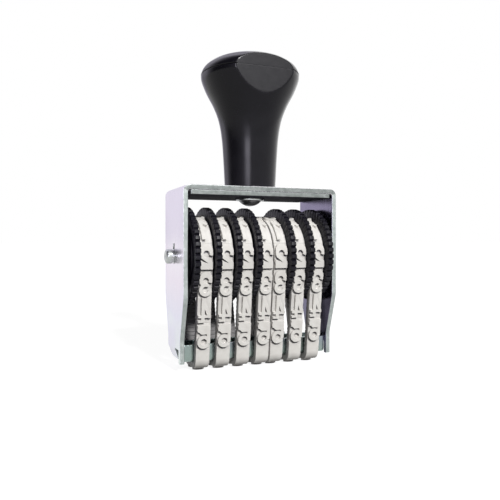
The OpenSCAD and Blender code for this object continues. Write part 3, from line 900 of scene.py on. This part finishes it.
def bandLoop():
    # The band round drum and bridge, measured along its middle from the bridge's middle up the front strand
    s = bandSizes
    low, high = boxMm("bridge")
    corner = bridgeSizes["corner"]
    cornerZ = low[2] + corner
    loopRadius = wheelSizes["drum"] + s["clear"]
    small, big = corner + s["thick"] / 2, loopRadius + s["thick"] / 2
    flat = (high[1] - low[1]) / 2 - corner
    rise = axleHeight - cornerZ
    sides = []
    for cornerY in (-low[1] - corner, high[1] - corner):
        span = math.hypot(rise, cornerY)
        lean = math.atan2(cornerY, rise) - math.asin((loopRadius - corner) / span)
        strand = math.sqrt(span**2 - (loopRadius - corner)**2)
        cornerRun = small * (math.pi / 2 + lean)
        length = flat + cornerRun + strand + big * (math.pi / 2 - lean)
        sides.append((cornerY, lean, strand, cornerRun, length))
    frontEnd, rearEnd = sides[0][4], sides[1][4]

    def onSide(d, away, side):
        cornerY, lean, strand, cornerRun = side[:4]
        along = d - flat - cornerRun
        turn = np.where(d < flat, -math.pi / 2,
                        np.where(along < 0, -math.pi / 2 + (d - flat) / small,
                                 np.where(along < strand, lean, lean + (along - strand) / big)))
        onStrand = along < strand
        up = np.clip(along, 0, strand)
        y0 = np.where(onStrand, cornerY - flat + np.minimum(d, flat) - up * math.sin(lean), 0)
        z0 = np.where(onStrand, cornerZ + up * math.cos(lean), axleHeight)
        reach = np.where(onStrand, small, big) + away
        return y0 + reach * np.cos(turn), z0 + reach * np.sin(turn)

    def place(distance, away):
        # Arrays in, (Y, Z) out; away is measured outwards from the middle line
        frontY, frontZ = onSide(np.maximum(distance, 0), away, sides[0])
        rearY, rearZ = onSide(np.maximum(-distance, 0), away, sides[1])
        return np.where(distance > 0, -frontY, rearY), np.where(distance > 0, frontZ, rearZ)

    # Length along the outer face, on which the figures are laid out
    marks = np.linspace(-rearEnd, frontEnd, s["marks"])
    y, z = place(marks, s["thick"] / 2)
    outer = np.concatenate([[0], np.cumsum(np.hypot(np.diff(y), np.diff(z)))])
    frontBase = flat + sides[0][3] + s["strandStart"]
    rearBase = flat + sides[1][3] + s["strandStart"]
    centres = [frontBase + (5 - n) * s["pitch"] for n in range(6)] + [-s["faceShift"]]
    centres += [-rearBase - n * s["pitch"] for n in range(3)]
    return place, rearEnd, frontEnd, (marks, outer, centres)


def arcPoints(height, radius, start, stop, count=16):
    # An arc round (0, height), from start to stop in degrees
    turn = np.radians(np.linspace(start, stop, count))
    return [(radius * math.cos(t), height + radius * math.sin(t)) for t in turn]


def figureStrokes(number):
    # Each stroke is (points, width, cut square at its start, at its end), for a figure that reads normally
    s = bandSizes
    wide = s["stroke"]
    fx, fy = (s["figureWide"] - wide) / 2, (s["figureHigh"] - wide) / 2
    edge, end, top, low = s["figureWide"] / 2, s["figureHigh"] / 2, fy - fx, fx - fy
    stem, bar = 0.35, s["barLift"] + s["bar"] / 2 - end
    foot, peak = s["capFoot"], s["capTop"]
    ringLow, ringTop = arcPoints(low, fx, 0, 360, 32), arcPoints(top, fx, 0, 360, 32)
    cap = arcPoints(top, fx, 180, 0)
    return {
        0: [(arcPoints(top, fx, 0, 180) + arcPoints(low, fx, 180, 360) + [(fx, top)], wide)],
        1: [([(stem, -end), (stem, end)], wide, True, True), ([(stem, fy), (-fx, top)], wide, False, True)],
        2: [(arcPoints(0.55, fx, 198, -35) + [(-fx, -1.2)], wide, True), (cap, wide),
            ([(-edge, 0.6 - end), (edge, 0.6 - end)], 1.2, True, True),
            ([(-0.2, 0.85 - end), (edge, 1.35 - end)], 0.7, False, True)],
        3: [(arcPoints(0.65, fx, 202, -55), wide, True), (cap, wide),
            (arcPoints(low, fx, 110, -165), wide, False, True)],
        4: [([(stem, -end), (stem, end)], wide, True, True), ([(stem, fy), (-fx, bar)], wide),
            ([(-edge, bar), (edge, bar)], s["bar"], True, True),
            ([(stem, 0.2 - end), (edge, 0.2 - end)], 0.4, True, True)],
        5: [([(-edge, (foot + peak) / 2), (0.6, (foot + peak) / 2)], peak - foot, True, True),
            ([(0.5, peak - 0.65), (edge, peak - 0.65)], 1.3, True, True),
            ([(0.45, foot + 0.4), (1.1, foot + 1.0)], wide), ([(-fx, peak - 0.4), (-fx, low)], wide),
            (arcPoints(low, fx, 130, -155, 24), wide, False, True)],
        6: [(ringLow, wide), ([(-fx, low)] + arcPoints(top, fx, 180, 25), wide, False, True)],
        7: [([(-edge, fy), (edge, fy)], wide, True, True), ([(fx, fy), (-0.3, -end)], wide, False, True)],
        8: [(ringLow, wide), (ringTop, wide), ([(0, low + fx), (0, top - fx)], wide)],
        9: [(ringTop, wide), ([(fx, top)] + arcPoints(low, fx, 0, -155), wide, False, True)],
    }[number]


def insideStroke(x, y, points, wide, cutStart=False, cutEnd=False):
    # How far inside a stroke a point lies; negative outside
    best = np.full(x.shape, 1e9)
    for (ax, ay), (bx, by) in zip(points[:-1], points[1:]):
        dx, dy = bx - ax, by - ay
        size = dx * dx + dy * dy + 1e-12
        t = np.clip(((x - ax) * dx + (y - ay) * dy) / size, 0, 1)
        best = np.minimum(best, np.hypot(x - ax - t * dx, y - ay - t * dy))
    inside = wide / 2 - best
    for cut, (px, py), (qx, qy) in ((cutStart, points[0], points[1]), (cutEnd, points[-1], points[-2])):
        if cut:
            # Only the end itself is cut, not a bend that comes back past it
            ahead = ((x - px) * (qx - px) + (y - py) * (qy - py)) / math.hypot(qx - px, qy - py)
            near = np.hypot(x - px, y - py) < wide * bandSizes["endReach"]
            inside = np.where(near, np.minimum(inside, ahead), inside)
    return inside


def overFigures(v, layout):
    # For each figure: its number, and how far above its middle every point of the unrolled band lies
    marks, outer, centres = layout
    run, whole = np.interp(v, marks, outer), outer[-1]
    for number, centre in enumerate(centres):
        yield number, (run - np.interp(centre, marks, outer) + whole / 2) % whole - whole / 2


def figureField(u, v, layout):
    # How far inside a figure every point of the unrolled band lies
    inside = np.full(u.shape, -9.0)
    for number, y in overFigures(v, layout):
        near = np.abs(y) < bandSizes["reach"]
        mirrored = -u[near]  # the figures are mirror writing
        found = np.max([insideStroke(mirrored, y[near], *stroke) for stroke in figureStrokes(number)], axis=0)
        inside[near] = np.maximum(inside[near], found)
    return inside


def insideBase(x, y, number):
    # The flat field a figure stands in, with a round foot under the round figures
    s = bandSizes
    foot = s["figureWide"] / 2 if number in (0, 3, 5, 6, 8, 9) else s["fieldRound"]
    radius = np.where(y < 0, foot, s["fieldRound"])
    qx = np.abs(x) - s["figureWide"] / 2 - s["fieldSide"] + radius
    qy = np.abs(y) - s["figureHigh"] / 2 - s["fieldEnd"] + radius
    return radius - np.hypot(np.maximum(qx, 0), np.maximum(qy, 0)) - np.minimum(np.maximum(qx, qy), 0)


def ditchDepth(u, v, layout):
    # Ditches between the fields of the figures
    s = bandSizes
    depth = np.zeros(u.shape)
    for number, y in overFigures(v, layout):
        field = insideBase(-u, y, number)
        near = (np.abs(y) < s["pitch"] / 2) & (field < 0)
        deep = np.maximum(depth, softStep(-field / s["ditchFlank"]) * s["ditch"])
        depth = np.where(near, deep, depth)
    return depth


def softStep(value):
    value = np.clip(value, 0, 1)
    return value * value * (3 - 2 * value) * 0.5 + value * 0.5


def splitQuads(index, height):
    # Triangles whose diagonal joins the corners that are closest in height keep the walls straight
    a, b, c, d = index[:-1, :-1], index[1:, :-1], index[1:, 1:], index[:-1, 1:]
    ha, hb, hc, hd = height[:-1, :-1], height[1:, :-1], height[1:, 1:], height[:-1, 1:]
    level = np.maximum.reduce([ha, hb, hc, hd]) - np.minimum.reduce([ha, hb, hc, hd]) < 0.004
    across = ~level & (np.abs(ha - hc) <= np.abs(hb - hd))
    along = ~level & ~across
    faces = np.stack([a, b, c, d], -1)[level].tolist()
    for mask, corners in ((across, ((a, b, c), (a, c, d))), (along, ((a, b, d), (b, c, d)))):
        for three in corners:
            faces += np.stack(three, -1)[mask].tolist()
    return faces


def moveToOutlines(u, v, width, layout):
    # Points near the outline of a figure move onto it, so that walls come out clean
    s = bandSizes
    inner = np.ones(u.shape, bool)
    inner[:, 0] = inner[:, -1] = inner[0] = inner[-1] = False
    tiny = 0.004
    for level in (0.0, 0.0, -s["flank"], -s["flank"]):
        value = figureField(u, v, layout)
        slopeU = (figureField(u + tiny, v, layout) - value) / tiny
        slopeV = (figureField(u, v + tiny, layout) - value) / tiny
        steep = np.maximum(slopeU**2 + slopeV**2, 0.3)
        move = np.where(inner & (np.abs(value - level) < s["cell"] * 0.45), level - value, 0)
        u = np.clip(u + move * slopeU / steep, -width / 2, width / 2)
        v = v + move * slopeV / steep
    return u, v


def paintedShadow(u, v, field, raised, height, layout):
    # Painted shade, thin round the strokes and dark just under them as painted shadow, fading on the raised
    # faces and up the band
    paintedShade = np.clip((field + shadowLook["reach"]) / shadowLook["fade"], 0, 1) * shadowLook["around"]
    for drop, dark in shadowLook["drops"]:
        over = figureField(u, v + np.where(v > 0, drop, -drop), layout)
        paintedShade = np.maximum(paintedShade, np.clip(over / 0.05, 0, 1) * dark)
    paintedShade *= 1 - np.clip(raised / bandSizes["relief"] * 1.6 - 0.5, 0, 1)
    return paintedShade * np.interp(height, shadowLook["heights"], shadowLook["shares"])


def bandMesh(width):
    s = bandSizes
    place, rearEnd, frontEnd, layout = bandLoop()
    whole = rearEnd + frontEnd
    across = np.linspace(-width / 2, width / 2, int(round(width / s["cell"])) + 1)
    along = np.linspace(-rearEnd, frontEnd, int(round(whole / s["cell"] / s["ribs"])) * s["ribs"] + 1)
    u, v = moveToOutlines(*np.meshgrid(across, along), width, layout)
    field = figureField(u, v, layout)
    raised = softStep(field / s["flank"] + 1) * s["relief"]
    sunk = ditchDepth(u, v, layout)
    paintedShade = paintedShadow(u, v, field, raised, place(v, 0)[1], layout)
    rim = np.clip((np.abs(u) - width / 2 + s["edgeRound"]) / s["edgeRound"], 0, 1)
    y, z = place(v, s["thick"] / 2 + raised - sunk - s["edgeRound"] * (1 - np.sqrt(1 - rim**2 * 0.98)))
    outer = np.stack([u, y, z], -1)
    # Inner side, with ribs across that grip the drum
    u, v = np.meshgrid(np.linspace(width / 2, -width / 2, s["innerColumns"]), along)
    phase = ((v + rearEnd) / whole * s["ribs"]) % 1
    groove = np.clip(1 - np.abs(phase - 0.5) / s["ribShare"], 0, 1)
    rim = np.clip((np.abs(u) - width / 2 + s["innerRound"]) / s["innerRound"], 0, 1) * s["innerSunk"]
    y, z = place(v, -s["thick"] / 2 + softStep(groove * 2) * s["ribDepth"] + rim)
    rows = np.concatenate([outer, np.stack([u, y, z], -1), outer[:, :1]], axis=1)
    heights = np.concatenate([raised - sunk, np.zeros(u.shape), raised[:, :1]], axis=1)
    # The inner side of the band gets even painted shade
    paintedShades = np.concatenate([paintedShade, np.full(u.shape, shadowLook["inside"]), paintedShade[:, :1]], axis=1)
    index = np.arange(rows.shape[0] * rows.shape[1]).reshape(rows.shape[:2])
    mesh = bpy.data.meshes.new("number_band_dressed")
    mesh.from_pydata((rows.reshape(-1, 3) * mm).tolist(), [], splitQuads(index, heights))
    mesh.attributes.new("paintedShadow", "FLOAT", "POINT").data.foreach_set("value", paintedShades.ravel())
    work = bmesh.new()
    work.from_mesh(mesh)
    bmesh.ops.remove_doubles(work, verts=work.verts, dist=1e-8)
    bmesh.ops.recalc_face_normals(work, faces=work.faces)
    work.to_mesh(mesh)
    work.free()
    return mesh


def buildBands():
    low, high = boxMm("number_band_1")
    mesh = bandMesh(high[0] - low[0])
    finishMesh(mesh, (rubber,), 40)
    for i in range(1, 8):
        low, high = boxMm(f"number_band_{i}")
        addPiece(f"number_band_{i}", mesh, "frame", at=((low[0] + high[0]) / 2, 0, 0))


buildBands()
print("bands moulded")


# Studio. The camera's place is in millimetres and its frame in pixels, lamp and floor are in metres.
# room is what mirrored rays see on the left of the stamp, from the back (0) to the front (1).

studio = {"angle": 21.35, "distance": 120.1, "height": 26.3, "focal": 559.9, "frame": 500, "horizon": 239.05,
          "overhead": 0.14, "level": 0.05, "rear": 0.75, "right": 1.5, "rightEdge": (-0.05, 0.06),
          "room": ((0.12, 0.067), (0.26, 0.16), (0.40, 0.08), (0.52, 0.014), (0.72, 0.016), (0.80, 0.03),
                   (0.90, 0.07), (0.955, 0.18), (0.985, 1.0)),
          "roomStrength": 12.0, "leftTint": (0.97, 0.94, 1.07, 1),
          "lampAt": (0.085, -0.545, 0.43), "lampAim": (0, 0, 0.033), "lampSize": (0.12, 0.08),
          "lampPower": 5.0, "floorSize": 3.0, "floorColor": (0.28, 0.28, 0.28, 1), "floorRough": 0.9,
          "floorNear": 0.88, "floorFar": 1.0, "nearReach": 0.05, "farReach": 0.45}


def buildLamp():
    s = studio
    lamp = bpy.data.lights.new("keySoftbox", "AREA")
    lamp.shape = "RECTANGLE"
    lamp.size, lamp.size_y = s["lampSize"]
    lamp.energy = s["lampPower"]
    obj = addObject("keySoftbox", lamp)
    obj.location = s["lampAt"]
    obj.rotation_euler = (Vector(s["lampAim"]) - Vector(s["lampAt"])).to_track_quat("-Z", "Y").to_euler()


def buildFloor():
    s = studio
    work = bmesh.new()
    bmesh.ops.create_grid(work, x_segments=2, y_segments=2, size=s["floorSize"])
    mesh = bpy.data.meshes.new("floor")
    work.to_mesh(mesh)
    work.free()
    floor = addObject("floor", mesh)
    material, tree, shader, place = newMaterial("paleFloor", {"specular": 0.0})
    shader.inputs["Base Color"].default_value = s["floorColor"]
    shader.inputs["Roughness"].default_value = s["floorRough"]
    rays = addNode(tree, "ShaderNodeLightPath", {}).outputs
    shown = maths(tree, "MAXIMUM", rays["Is Camera Ray"], rays["Is Glossy Ray"])
    shown = maths(tree, "MAXIMUM", shown, rays["Is Transmission Ray"])
    # The floor is white far away, and nearer the stamp keeps its shadow
    reach = addNode(tree, "ShaderNodeVectorMath", {0: place}, operation="LENGTH").outputs["Value"]
    lift = mapRange(tree, reach, s["nearReach"], s["farReach"], s["floorNear"], s["floorFar"])
    glow = addNode(tree, "ShaderNodeEmission", {"Strength": maths(tree, "MULTIPLY", shown, lift)})
    both = addNode(tree, "ShaderNodeAddShader", {0: shader.outputs[0], 1: glow.outputs[0]})
    setSocket(tree, tree.nodes["Material Output"].inputs["Surface"], both.outputs[0])
    mesh.materials.append(material)


def buildWorld():
    s = studio
    world = bpy.data.worlds.new("studioWorld")
    bpy.context.scene.world = world
    world.use_nodes = True
    tree = world.node_tree
    rays = addNode(tree, "ShaderNodeLightPath", {}).outputs
    seen = rays["Is Camera Ray"]
    mirrored = maths(tree, "MAXIMUM", rays["Is Glossy Ray"], rays["Is Transmission Ray"])
    way = addNode(tree, "ShaderNodeTexCoord", {}).outputs["Generated"]
    x, y, z = addNode(tree, "ShaderNodeSeparateXYZ", {0: way}).outputs
    turn = math.radians(s["angle"])
    toFront = maths(tree, "ADD", maths(tree, "MULTIPLY", x, -math.sin(turn)),
                    maths(tree, "MULTIPLY", y, -math.cos(turn)))
    toRight = maths(tree, "ADD", maths(tree, "MULTIPLY", x, math.cos(turn)),
                    maths(tree, "MULTIPLY", y, -math.sin(turn)))
    # Mirrored rays see an even bright room on the right, and one with darker parts on the left
    frontShare = mapRange(tree, toFront, -1.0, 1.0, 0.0, 1.0)
    tones = colorRamp(tree, frontShare, [(at, (v,) * 3) for at, v in s["room"]])
    rightShare = mapRange(tree, toRight, *s["rightEdge"], 0.0, 1.0)
    leftSide = maths(tree, "MULTIPLY", tones, s["roomStrength"])
    room = blendColors(tree, rightShare, leftSide, (s["right"],) * 3 + (1,))
    # Diffuse light comes from overhead, and from behind for the back of the stamp
    soft = maths(tree, "ADD", mapRange(tree, z, -0.1, 0.9, s["level"], s["overhead"]),
                 mapRange(tree, toFront, -0.75, -0.05, s["rear"], 0.0))
    level = maths(tree, "ADD", seen, maths(tree, "MULTIPLY", mirrored, room))
    rest = maths(tree, "SUBTRACT", 1.0, maths(tree, "MAXIMUM", seen, mirrored))
    level = maths(tree, "ADD", level, maths(tree, "MULTIPLY", rest, soft))
    fromLeft = maths(tree, "MULTIPLY", mirrored, maths(tree, "SUBTRACT", 1.0, rightShare))
    back = tree.nodes["Background"].inputs
    setSocket(tree, back["Color"], blendColors(tree, fromLeft, (1, 1, 1, 1), s["leftTint"]))
    setSocket(tree, back["Strength"], level)


def buildCamera():
    s = studio
    turn = math.radians(s["angle"])
    data = bpy.data.cameras.new("camera")
    data.sensor_width = 36
    data.lens = s["focal"] / s["frame"] * data.sensor_width
    data.shift_y = (s["horizon"] - s["frame"] / 2) / s["frame"]
    data.clip_start = 0.005
    camera = addObject("camera", data)
    away = s["distance"]
    camera.location = Vector((-away * math.sin(turn), -away * math.cos(turn), s["height"])) * mm
    camera.rotation_euler = (math.pi / 2, 0, -turn)
    bpy.context.scene.camera = camera


buildFloor()
buildWorld()
buildCamera()
buildLamp()
bpy.context.scene.view_settings.view_transform = "Standard"
print("studio ready")
